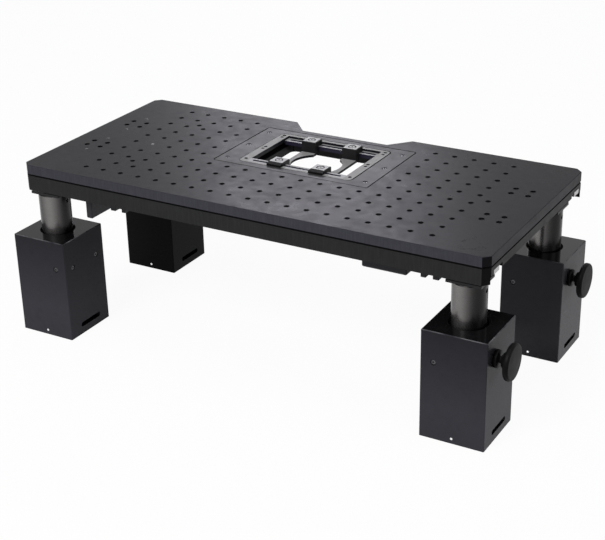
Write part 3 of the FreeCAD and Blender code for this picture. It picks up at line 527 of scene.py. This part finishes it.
def milled_streaks():
    """Slanting feed marks on the cut edges of a plate."""
    group, start, end = effect("milled_streaks", [("Strength", "NodeSocketFloat", 0.5)],
                               [("Mask", "NodeSocketFloat")])
    place = node(group, "TexCoord")
    turned = node(group, "Mapping", [("Vector", place.outputs["Object"]),
                                     ("Rotation", (0.0, math.radians(48), 0.0)),
                                     ("Scale", (520.0, 8.0, 40.0))])
    cuts = node(group, "TexNoise", [("Vector", turned.outputs[0]), ("Scale", 1.0), ("Detail", 2.0)])
    sharp = node(group, "MapRange", [("Value", cuts.outputs["Fac"]), ("From Min", 0.42),
                                     ("From Max", 0.68)])
    parts = node(group, "SeparateXYZ", [(0, place.outputs["Normal"])])
    height = node(group, "Math", [(0, parts.outputs["Z"])], operation="ABSOLUTE")
    sides = node(group, "MapRange", [("Value", height.outputs[0]), ("From Min", 0.5),
                                     ("From Max", 0.2)])
    only = node(group, "Math", [(0, sharp.outputs[0]), (1, sides.outputs[0])], operation="MULTIPLY")
    scaled = node(group, "Math", [(0, only.outputs[0]), (1, start.outputs["Strength"])],
                  operation="MULTIPLY")
    group.links.new(scaled.outputs[0], end.inputs["Mask"])
    return group


SEAM_HALF_WIDTH = 0.0006
SEAM_FADE = 0.00025
ANY_HEIGHT = 9.0


def painted_seam_shadow():
    """One in a narrow band along a rectangle with round corners: the painted shadow in the gap round an
    inlay.
    """
    group, start, end = effect("painted_seam_shadow", [("Centre", "NodeSocketVector", (0.0, 0.0, 0.0)),
                                             ("Core", "NodeSocketVector", (0.1, 0.1, ANY_HEIGHT)),
                                             ("Radius", "NodeSocketFloat", 0.003),
                                             ("Front", "NodeSocketFloat", 0.35)],
                               [("Mask", "NodeSocketFloat")])
    place = node(group, "TexCoord")
    offset = node(group, "VectorMath", [(0, place.outputs["Object"]), (1, start.outputs["Centre"])],
                  operation="SUBTRACT")
    folded = node(group, "VectorMath", [(0, offset.outputs[0])], operation="ABSOLUTE")
    beyond = node(group, "VectorMath", [(0, folded.outputs[0]), (1, start.outputs["Core"])],
                  operation="SUBTRACT")
    outside = node(group, "VectorMath", [(0, beyond.outputs[0]), (1, (0.0, 0.0, 0.0))],
                   operation="MAXIMUM")
    reach = node(group, "VectorMath", [(0, outside.outputs[0])], operation="LENGTH")
    away = node(group, "Math", [(0, reach.outputs["Value"]), (1, start.outputs["Radius"])],
                operation="SUBTRACT")
    away = node(group, "Math", [(0, away.outputs[0])], operation="ABSOLUTE")
    band = node(group, "MapRange", [("Value", away.outputs[0]), ("From Min", SEAM_HALF_WIDTH + SEAM_FADE),
                                    ("From Max", SEAM_HALF_WIDTH)])
    across = node(group, "SeparateXYZ", [(0, offset.outputs[0])])
    limit = node(group, "SeparateXYZ", [(0, start.outputs["Core"])])
    ahead = node(group, "Math", [(0, across.outputs["Y"]), (1, limit.outputs["Y"])])
    share = node(group, "MapRange", [("Value", ahead.outputs[0]), ("From Min", -0.003),
                                     ("From Max", 0.0), ("To Min", start.outputs["Front"]),
                                     ("To Max", 1.0)])
    faded = node(group, "Math", [(0, band.outputs[0]), (1, share.outputs[0])],
                 operation="MULTIPLY")
    group.links.new(faded.outputs[0], end.inputs["Mask"])
    return group


STREAKS = milled_streaks()
SEAM_SHADOW = painted_seam_shadow()


def plate_finish(name, colour, side_colour, rim_colour_and_shade, roughness, specular, shaded_seams=(), end_painted_shade=1.0):
    """Hard anodised plate with streaked sides, and painted shade on its end faces, corner cuts and rims
    and in the gaps round what lies in it.
    """
    material, tree, shader = new_finish(name, specular)
    place = node(tree, "TexCoord")
    parts = node(tree, "SeparateXYZ", [(0, place.outputs["Normal"])])
    up = node(tree, "MapRange", [("Value", parts.outputs["Z"]), ("From Min", FACING[0]),
                                 ("From Max", FACING[1])])
    # Painted shade: end faces, which look along x, darken by the share given.
    along = node(tree, "Math", [(0, parts.outputs["X"])], operation="ABSOLUTE")
    end_faces = node(tree, "MapRange", [("Value", along.outputs[0]), ("From Min", FACING[0]),
                                        ("From Max", FACING[1])])
    sides = node(tree, "MixRGB", [("Fac", end_faces.outputs[0]), ("Color1", (*side_colour, 1)),
                                  ("Color2", (*[part * end_painted_shade for part in side_colour], 1))])
    shades = node(tree, "MixRGB", [("Fac", up.outputs[0]), ("Color1", sides.outputs["Color"]),
                                   ("Color2", (*colour, 1))])
    coat = use(tree, GRAIN, Colour=shades.outputs["Color"], Roughness=roughness, Unevenness=0.2,
               Grain_size=1100.0)
    hairs = use(tree, SCRATCHES, Across=(26.0, 1100.0, 900.0), Amount=0.04)
    cuts = use(tree, STREAKS, Strength=0.22)
    edges = use(tree, EDGES)
    light = (*[part * 2.0 for part in side_colour], 1)
    marks = node(tree, "Math", [(0, cuts.outputs["Mask"]), (1, hairs.outputs["Mask"])],
                 operation="MAXIMUM")
    marked = node(tree, "MixRGB", [("Fac", marks.outputs[0]), ("Color1", coat.outputs["Colour"]),
                                   ("Color2", light)])
    # Painted shade on the rims: black where they face down; the near-black rim colours of the deck and
    # insert paint the shade of their seams.
    below = node(tree, "MapRange", [("Value", parts.outputs["Z"]), ("From Min", -0.2),
                                    ("From Max", -0.4)])
    rim = node(tree, "MixRGB", [("Fac", below.outputs[0]), ("Color1", (*rim_colour_and_shade, 1)),
                                ("Color2", (0.001, 0.001, 0.001, 1))])
    rimmed = node(tree, "MixRGB", [("Fac", edges.outputs["Rims"]), ("Color1", marked.outputs["Color"]),
                                   ("Color2", rim.outputs["Color"])])
    # Painted shade on the corner cuts.
    shadow = (*[part * 0.12 for part in side_colour], 1)
    cornered = node(tree, "MixRGB", [("Fac", edges.outputs["Corners"]),
                                     ("Color1", rimmed.outputs["Color"]), ("Color2", shadow)])
    shade, dull = cornered.outputs["Color"], edges.outputs["Rims"]
    # Painted shadow, near black and dull, in the gap round each inlay.
    for inlay, radius, shift in shaded_seams:
        low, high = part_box(inlay)
        core = (high - low) / 2 - Vector((radius, radius, 0))
        gap_shadow = use(tree, SEAM_SHADOW, Centre=(low + high) / 2 + Vector(shift),
                  Core=(core.x, core.y, ANY_HEIGHT), Radius=radius)
        shade = node(tree, "MixRGB", [("Fac", gap_shadow.outputs[0]), ("Color1", shade),
                                      ("Color2", (0.002, 0.002, 0.002, 1))]).outputs["Color"]
        dull = node(tree, "Math", [(0, gap_shadow.outputs[0]), (1, dull)], operation="MAXIMUM").outputs[0]
    rough = node(tree, "MapRange", [("Value", dull), ("To Min", coat.outputs["Roughness"]),
                                    ("To Max", 0.9)])
    height = node(tree, "Math", [(0, coat.outputs["Height"]), (1, cuts.outputs["Mask"])])
    join(tree, shader, shade, rough.outputs[0], height.outputs[0], 0.2, 0.00003)
    return material


# A gap's painted shadow has the node that lies in it, the radius of its corners and its shift
INSERT_GAP_SHADOW = ("insert_plate", 0.003, (0.0, 0.0, 0.0))
HOLDER_GAP_SHADOW = ("holder_frame", 0.007, (0.0006, -0.0001, 0.0))
deck_coat = plate_finish("deck_hard_anodised", (0.01, 0.01, 0.011), (0.0175, 0.0175, 0.018),
                         (0.001, 0.001, 0.001), 0.4, 0.05)
dress(deck_coat, "deck_plate")
# The top plate's end faces are darkened to 0.3 of its side colour as painted shade.
top_coat = plate_finish("top_hard_anodised", (0.0135, 0.013, 0.0152), (0.036, 0.036, 0.044),
                        (0.03, 0.03, 0.036), 0.34, 0.035, [INSERT_GAP_SHADOW], 0.3)
dress(top_coat, "top_plate")

# Threads of the hole grid: each M6 hole is tapped right through, so a few turns
# of the thread show under its rim, near black with painted shade. A thin flat collar of the same black
# round each rim is painted shade on its broken edge.
GRID_PITCH = 0.025
GRID_COLUMNS = 19
GRID_ROWS = 10
FRONT_ROWS = 4
SIDE_COLUMNS = 5
BLANK_PLACE = (1, 4)
OFF_GRID_HOLES = [(-0.187, 0.072), (-0.187, -0.072), (0.24, 0.0)]
THREAD_SECTION = [(0.00002, 0.0034), (0.00002, 0.00298), (-0.0009, 0.00298), (-0.0016, 0.0026),
                  (-0.0023, 0.00298), (-0.003, 0.0026)]
THREAD_SIDES = 14
top_level = plate_high.z


def on_plate(x, y, sink=0.0):
    """A place on the top plate from its middle, sunk by so much."""
    return Vector((plate_x + x, plate_y + y, top_level - sink))


def grid_hole(column, row):
    """Where a hole of the grid is, from the middle of the plate."""
    return (column - (GRID_COLUMNS - 1) / 2) * GRID_PITCH, (row - (GRID_ROWS - 1) / 2) * GRID_PITCH


holes = [grid_hole(column, row) for column in range(GRID_COLUMNS) for row in range(GRID_ROWS)
         if (row < FRONT_ROWS or column < SIDE_COLUMNS or column >= GRID_COLUMNS - SIDE_COLUMNS)
         and (column, row) != BLANK_PLACE]
thread = spun(THREAD_SECTION, THREAD_SIDES)
bmesh.ops.recalc_face_normals(thread, faces=thread.faces)
inside_out = [face for face in thread.faces if face.normal.z < -0.9
              or face.normal.dot(Vector((*face.calc_center_median().xy, 0))) > SAME_POINT]
bmesh.ops.reverse_faces(thread, faces=inside_out)
repeat(thread, [on_plate(x, y) for x, y in holes + OFF_GRID_HOLES])
thread_painted_shade = black_oxide("thread_shadowed", (0.004, 0.004, 0.005), 0.6, 0.05)
finished("grid_threads", thread, thread_painted_shade, "top")

# Screws of the slide: four black socket screws in each of the four groups that
# hold the carriages, with dowel pins beside the left groups. One more pin, a
# bright one, fills the place of a hole in the second column of the grid.
CARRIAGE_X = 0.263
CARRIAGE_Y = 0.0414
CARRIAGE_SCREW_HALF_PITCH = 0.01, 0.0075
CARRIAGE_SCREW = dict(radius=0.00275, height=0.0017, recess=hexagon(0.0015), depth=0.0012)
CARRIAGE_SCREW_SINK = 0.0018
COUNTERBORE_SHADE_SECTION = [(0.00002, 0.0034), (0.00002, 0.00297), (-0.0016, 0.00297), (-0.0016, 0.00299),
                  (0.00001, 0.00299), (0.00001, 0.0034), (0.00002, 0.0034)]
DOWEL_Y = (-0.0634, -0.0194, 0.0194, 0.0634)
PIN_SECTION = [(-0.0006, 0.0), (-0.0006, 0.0021), (0.00002, 0.0021), (0.00002, 0.0019),
               (-0.0001, 0.0018), (-0.0001, 0.0016), (0.0001, 0.0013), (0.00018, 0.0007),
               (0.0002, 0.0)]
screw_dull = black_oxide("screw_dull_black", (0.0015, 0.0015, 0.0018), 0.8, 0.03)
blank_steel = black_oxide("blank_pin_steel", (0.14, 0.14, 0.14), 0.3, metallic=0.8)
dowel_steel = black_oxide("dowel_dark_steel", (0.03, 0.03, 0.032), 0.25, metallic=0.8)
half_x, half_y = CARRIAGE_SCREW_HALF_PITCH
carriage_spots = [(x + i * half_x, y + j * half_y)
                  for x in (-CARRIAGE_X, CARRIAGE_X) for y in (-CARRIAGE_Y, CARRIAGE_Y)
                  for i in (-1, 1) for j in (-1, 1)]
screws("carriage_screws", CARRIAGE_SCREW, screw_dull, "top",
       [on_plate(x, y, CARRIAGE_SCREW_SINK) for x, y in carriage_spots])
# A thin black lining on the wall and rim of each carriage screw's counterbore is painted shade.
turned_piece("carriage_counterbore_shade", COUNTERBORE_SHADE_SECTION, PIN_SIDES, screw_dull, "top",
             [on_plate(x, y) for x, y in carriage_spots])
turned_piece("dowel_pins", PIN_SECTION, PIN_SIDES, dowel_steel, "top",
             [on_plate(-CARRIAGE_X, y) for y in DOWEL_Y])
turned_piece("blank_pin", PIN_SECTION, PIN_SIDES, blank_steel, "top",
             [on_plate(*grid_hole(*BLANK_PLACE))])

# Insert plate: anodised a little lighter than the plate that it lies flush in,
# and held by six small socket screws.
insert_coat = plate_finish("insert_hard_anodised", (0.032, 0.032, 0.0335), (0.006, 0.006, 0.007),
                           (0.002, 0.002, 0.002), 0.34, 0.036, [INSERT_GAP_SHADOW, HOLDER_GAP_SHADOW])
dress(insert_coat, "insert_plate")
INSERT_SCREW = dict(radius=0.0024, height=0.0022, recess=hexagon(0.0014), depth=0.0014)
INSERT_SCREW_X = 0.093
INSERT_SCREW_Y = 0.049
INSERT_SCREW_SINK = 0.0006
insert_low, insert_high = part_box("insert_plate")
insert_y = (insert_low.y + insert_high.y) / 2 - plate_y
screws("insert_screws", INSERT_SCREW, screw_worn, "top",
       [on_plate(side * INSERT_SCREW_X, insert_y + row * INSERT_SCREW_Y, INSERT_SCREW_SINK)
        for side in (-1, 1) for row in (-1, 0, 1)])

# Holder frame, slotted bars and dish arms: black anodised aluminium whose upper
# faces are lightened with a painted sheen. Cross-slot screws hold the frame,
# and small pins beside the four rear ones set its place.
frame_coat = anodised("frame_painted_top_sheen", (0.008, 0.008, 0.011), 0.3, 0.06, wear=0.3,
                      scratch=(900.0, 26.0, 900.0), edge_colour=(0.06, 0.06, 0.062),
                      top_colour_and_sheen=(0.165, 0.165, 0.162), top_roughness=0.42)
dress(frame_coat, "holder_frame")
bar_coat = anodised("bar_painted_top_sheen", (0.014, 0.013, 0.024), 0.3, 0.1, wear=0.4,
                    scratch=(26.0, 900.0, 900.0), edge_colour=(0.1, 0.1, 0.11),
                    top_colour_and_sheen=(0.2, 0.2, 0.205), top_roughness=0.42)
dress(bar_coat, "front_slotted_bar", "rear_slotted_bar")
arm_coat = anodised("arm_painted_top_sheen", (0.01, 0.01, 0.012), 0.3, 0.05, wear=0.9,
                    scratch=(900.0, 26.0, 900.0), edge_colour=(0.02, 0.02, 0.021),
                    top_colour_and_sheen=(0.2, 0.2, 0.2), top_roughness=0.5)
dress(arm_coat, "left_dish_arm", "right_dish_arm")
FRAME_SCREW = dict(radius=0.00225, height=0.0008, recess=cross(0.0014, 0.0003), depth=0.0006)
FRAME_SCREW_X = 0.07025
FRAME_SCREW_Y = 0.0455
FRAME_SCREW_SHIFT = 0.002
FRAME_SCREW_SINK = 0.0003
FRAME_PIN = [(-0.0006, 0.0), (-0.0006, 0.002), (0.00004, 0.002), (0.00012, 0.0015), (0.00012, 0.0)]
FRAME_PIN_SIDES = 20
FRAME_PIN_FORWARD = 0.0065
holder_low, holder_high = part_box("holder_frame")
screws_y = (holder_low.y + holder_high.y) / 2 - plate_y + FRAME_SCREW_SHIFT
frame_spots = [(side * FRAME_SCREW_X, screws_y + row * FRAME_SCREW_Y)
               for row in (-1, 0, 1) for side in (-1, 1)]
screws("frame_screws", FRAME_SCREW, screw_dull, "top",
       [on_plate(x, y, FRAME_SCREW_SINK) for x, y in frame_spots])
turned_piece("frame_pins", FRAME_PIN, FRAME_PIN_SIDES, screw_dull, "top",
             [on_plate(x, y - FRAME_PIN_FORWARD) for x, y in frame_spots[2:]])

# Arm clamps: black blocks that grip the slotted bars, their upper face lightened
# with a painted sheen, which the tops of their screws share. A low screw on a
# black washer draws each block down on the bar. The front blocks have a black
# toe that reaches out over the front rail of the frame.
clamp_coat = anodised("clamp_painted_top_sheen", (0.01, 0.01, 0.011), 0.35, 0.1, wear=0.3,
                      scratch=(900.0, 26.0, 900.0), edge_colour=(0.05, 0.05, 0.05),
                      top_colour_and_sheen=(0.22, 0.22, 0.22), top_roughness=0.36)
toe_coat = anodised("toe_black_anodised", (0.006, 0.006, 0.0065), 0.45, 0.05, wear=0.1,
                    edge_colour=(0.02, 0.02, 0.02))
CLAMP_SCREW = dict(radius=0.0039, height=0.0011, recess=hexagon(0.0013), depth=0.0007)
CLAMP_SCREW_SINK = 0.0001
WASHER = [(-0.001, 0.0036), (-0.001, 0.0049), (-0.0004, 0.0049), (-0.0004, 0.0036), (-0.001, 0.0036)]
WASHER_SIDES = 32
TOE_HEIGHT = 0.0026
TOE_STEP = 0.0003
TOE_ROUNDING = 0.0003
TOE_GAP = 0.0002
TOE_OVERLAP = 0.0002
for side in ("left", "right"):
    clamps = ["%s_%s_clamp" % (side, end) for end in ("front", "rear")]
    dress(clamp_coat, *clamps)
    places = []
    for clamp in clamps:
        low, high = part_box(clamp)
        places.append(Vector((*((low + high) / 2).xy, high.z - CLAMP_SCREW_SINK)))
    screws(side + "_clamp_screws", CLAMP_SCREW, clamp_coat, side + "_arm", places)
    turned_piece(side + "_clamp_washers", WASHER, WASHER_SIDES, screw_dull,
                 side + "_arm", places)
    low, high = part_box(side + "_front_clamp")
    reach = low.y + TOE_OVERLAP - holder_low.y
    outline = [(0.0, TOE_GAP), (reach, TOE_GAP), (reach, high.z - top_level - TOE_STEP),
               (0.0, TOE_HEIGHT)]
    toe = bmesh.new()
    end_face = toe.faces.new([toe.verts.new((low.x, holder_low.y + y, top_level + z))
                              for y, z in outline])
    pulled = bmesh.ops.extrude_face_region(toe, geom=[end_face])["geom"]
    bmesh.ops.translate(toe, verts=points_of(pulled), vec=(high.x - low.x, 0, 0))
    bmesh.ops.recalc_face_normals(toe, faces=toe.faces)
    bmesh.ops.bevel(toe, geom=list(toe.edges), offset=TOE_ROUNDING, segments=2, affect="EDGES",
                    profile=0.5, material=-1)
    finished(side + "_clamp_toe", toe, toe_coat, side + "_arm")

# Clamp knobs: black moulded discs on a stem, on the right legs alone. The face is
# slightly domed and the rim is rounded, with a low boss on the leg.


def moulded_black(name, colour, roughness):
    """Glass-filled plastic with the fine texture of its mould."""
    material, tree, shader = new_finish(name, 0.04)
    skin = use(tree, GRAIN, Colour=(*colour, 1), Roughness=roughness, Unevenness=0.18,
               Grain_size=2200.0)
    join(tree, shader, skin.outputs["Colour"], skin.outputs["Roughness"], skin.outputs["Height"],
         0.5, 0.00006)
    return material


knob_black = moulded_black("knob_moulded_black", (0.004, 0.004, 0.0043), 0.45)
KNOB_SECTION = [(0.0001, 0.0), (0.0001, 0.0092), (0.0007, 0.0099), (0.0044, 0.0099),
                (0.005, 0.0093), (0.005, 0.004), (0.009, 0.004), (0.009, 0.0078), (0.0096, 0.0084),
                (0.0145, 0.0084), (0.015, 0.0092), (0.015, 0.0178), (0.0153, 0.0192),
                (0.0162, 0.0202), (0.0175, 0.0205), (0.0195, 0.0205), (0.0206, 0.0202),
                (0.0214, 0.0195), (0.0216, 0.0186), (0.0216, 0.0172), (0.02185, 0.013),
                (0.02196, 0.007), (0.022, 0.0)]
KNOB_SIDES = 64
for end in ("front", "rear"):
    leg_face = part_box("leg_box_right_" + end)[1].x
    low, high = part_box("clamp_knob_" + end)
    centre = Vector((leg_face, *((low + high) / 2).yz))
    knob = turned_piece("turned_knob_" + end, KNOB_SECTION, KNOB_SIDES, knob_black,
                        "knob_" + end, [centre], (1, 0, 0))
    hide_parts("clamp_knob_" + end)

# Studio: a pale floor that turns into the white background, a soft light behind
# the plate for its sheen, and three wide ones in front, at the right and above.
FLOOR_HALF_WIDTH = 15.0
FLOOR_WHITE_SHARE = 0.95
WORLD_LIGHT = 0.12


def white_rays(tree):
    """One for camera, glossy and transmission rays, which see the white background."""
    path = node(tree, "LightPath")
    seen = node(tree, "Math", [(0, path.outputs["Is Camera Ray"]), (1, path.outputs["Is Glossy Ray"])],
                operation="MAXIMUM")
    seen = node(tree, "Math", [(0, seen.outputs[0]), (1, path.outputs["Is Transmission Ray"])],
                operation="MAXIMUM")
    return seen.outputs[0]


floor_mesh = bmesh.new()
bmesh.ops.create_grid(floor_mesh, x_segments=1, y_segments=1, size=FLOOR_HALF_WIDTH)
floor_data = bpy.data.meshes.new("floor")
floor_mesh.to_mesh(floor_data)
floor_mesh.free()
floor = bpy.data.objects.new("floor", floor_data)
bpy.context.scene.collection.objects.link(floor)
floor_paper = bpy.data.materials.new("floor_paper")
floor_paper.use_nodes = True
tree = floor_paper.node_tree
tree.nodes.remove(tree.nodes["Principled BSDF"])
share = node(tree, "Math", [(0, white_rays(tree)), (1, FLOOR_WHITE_SHARE)], operation="MULTIPLY")
paper = node(tree, "BsdfDiffuse", [("Color", (0.7, 0.7, 0.7, 1))])
white = node(tree, "Emission", [("Color", (1, 1, 1, 1)), ("Strength", 1.0)])
mixed = node(tree, "MixShader", [("Fac", share.outputs[0]), (1, paper.outputs[0]),
                                 (2, white.outputs[0])])
tree.links.new(mixed.outputs[0], tree.nodes["Material Output"].inputs["Surface"])
floor_data.materials.append(floor_paper)

world = bpy.data.worlds.new("studio")
bpy.context.scene.world = world
world.use_nodes = True
sky = world.node_tree
level = node(sky, "MapRange", [("Value", white_rays(sky)), ("To Min", WORLD_LIGHT), ("To Max", 1.0)])
background = sky.nodes["Background"]
background.inputs["Color"].default_value = (1, 1, 1, 1)
sky.links.new(level.outputs[0], background.inputs["Strength"])


PLATFORM_MIDDLE = 0, 0, 0.12


def soft_light(name, place, aim, width, height, power, colour=(1, 1, 1)):
    """A rectangular soft light that faces a point."""
    lamp = bpy.data.lights.new(name, "AREA")
    lamp.shape = "RECTANGLE"
    lamp.size = width
    lamp.size_y = height
    lamp.energy = power
    lamp.color = colour
    holder = bpy.data.objects.new(name, lamp)
    bpy.context.scene.collection.objects.link(holder)
    turn = (Vector(aim) - Vector(place)).to_track_quat("-Z", "Y").to_matrix().to_4x4()
    holder.matrix_world = Matrix.Translation(place) @ turn


soft_light("sheen_light", (-0.98, 1.75, 1.15), (-0.02, 0.0, 0.2), 0.58, 0.7, 9.8, (0.92, 0.9, 1.0))
soft_light("front_light", (-0.4, -2.4, 2.3), PLATFORM_MIDDLE, 1.0, 1.0, 85.0)
soft_light("right_light", (2.6, 0.1, 1.2), PLATFORM_MIDDLE, 1.2, 1.4, 19.0)
soft_light("overhead_light", (0.2, -0.3, 3.0), PLATFORM_MIDDLE, 2.0, 2.0, 30.0)

# Camera: a long lens that looks from the front right, a little above the plate,
# and is rolled slightly. Its place was fitted to the grid holes and the legs.
EYE = Vector((0.7609, -1.3094, 0.7871))
AIM = Vector((0.0715, -0.1279, 0.154))
ROLL = math.radians(-1.25)
SENSOR_WIDTH = 36
LENS = 82.45
camera_data = bpy.data.cameras.new("camera")
camera_data.sensor_width = SENSOR_WIDTH
camera_data.lens = LENS
camera = bpy.data.objects.new("camera", camera_data)
bpy.context.scene.collection.objects.link(camera)
camera.matrix_world = (Matrix.Translation(EYE)
                       @ (AIM - EYE).to_track_quat("-Z", "Y").to_matrix().to_4x4()
                       @ Matrix.Rotation(ROLL, 4, "Z"))
bpy.context.scene.camera = camera
bpy.context.scene.view_settings.view_transform = "Standard"
